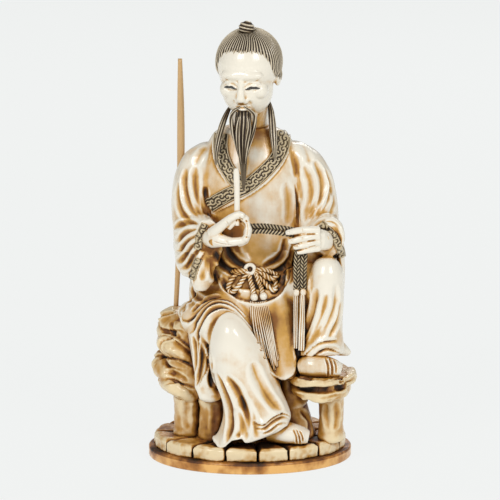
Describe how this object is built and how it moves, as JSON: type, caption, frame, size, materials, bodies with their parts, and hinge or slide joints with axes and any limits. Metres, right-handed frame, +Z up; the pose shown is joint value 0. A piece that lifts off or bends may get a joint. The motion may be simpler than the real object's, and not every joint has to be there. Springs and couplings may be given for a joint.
{
  "type": "okimono carving",
  "caption": "Carved seated elder with beard and topknot on a bedded rock seat over an oval paved plinth, with a staff and a stylus that lift out.",
  "frame": {"origin": "centre of the plinth's underside, on the surface the carving stands on", "axes": "+Z up, -Y the way the figure faces, +X to the viewer's right"},
  "size_m": [0.094, 0.0762, 0.2004],
  "materials": {
    "polished_ivory": "polished, stained in the recesses",
    "rock_stain": "satin, brown stain",
    "plinth_stain": "satin, brown stain",
    "staff_tan": "satin",
    "dark_hair": "engraved and blackened",
    "dark_engraving": "engraved and blackened",
    "dark_inlay": "polished"
  },
  "bodies": {
    "carving": {"apron_panel": "polished_ivory", "beard": "dark_hair", "body_pegs": "polished_ivory", "collar_band": "dark_engraving", "cord_beads": "polished_ivory", "cord_tassels": "polished_ivory", "eye_inlays": "dark_inlay", "ground_core": "rock_stain", "ground_pegs": "polished_ivory", "hanging_cords": "dark_engraving", "head": "polished_ivory", "held_cord": "dark_engraving", "inner_post": "rock_stain", "knot_ring": "polished_ivory", "ledge_post": "rock_stain", "left_foot": "polished_ivory", "left_hand": "polished_ivory", "left_leg": "polished_ivory", "left_rock": "rock_stain", "left_sidelock": "dark_hair", "left_sleeve": "polished_ivory", "lower_robe": "polished_ivory", "neck_peg": "polished_ivory", "outer_post": "rock_stain", "paving_slab_01": "rock_stain", "paving_slab_02": "rock_stain", "paving_slab_03": "rock_stain", "paving_slab_04": "rock_stain", "paving_slab_05": "rock_stain", "paving_slab_06": "rock_stain", "paving_slab_07": "rock_stain", "paving_slab_08": "rock_stain", "paving_slab_09": "rock_stain", "paving_slab_10": "rock_stain", "paving_slab_11": "rock_stain", "paving_slab_12": "rock_stain", "paving_slab_13": "rock_stain", "paving_slab_14": "rock_stain", "paving_slab_15": "rock_stain", "plinth": "plinth_stain", "right_foot": "polished_ivory", "right_hand": "polished_ivory", "right_ledge": "rock_stain", "right_leg": "polished_ivory", "right_sidelock": "dark_hair", "right_sleeve": "polished_ivory", "robe_drape": "polished_ivory", "sash_beads": "polished_ivory", "sash_bow": "polished_ivory", "sash_cords": "polished_ivory", "sash_tassel": "polished_ivory", "seat_block": "rock_stain", "seat_pegs": "polished_ivory", "shoulder_pegs": "polished_ivory", "topknot": "dark_hair", "torso": "polished_ivory", "waist_peg": "polished_ivory", "wrist_pegs": "polished_ivory"},
    "staff": {"staff": "staff_tan"},
    "stylus": {"stylus": "polished_ivory"}
  },
  "joints": [
    {"name": "staff_lift", "type": "slide", "parent": "carving", "child": "staff", "axis": [0.02, 0.02, 0.9996], "range_m": [0, 0.01]},
    {"name": "stylus_draw", "type": "slide", "parent": "carving", "child": "stylus", "axis": [0, 0, 1], "range_m": [0, 0.006]}
  ]
}
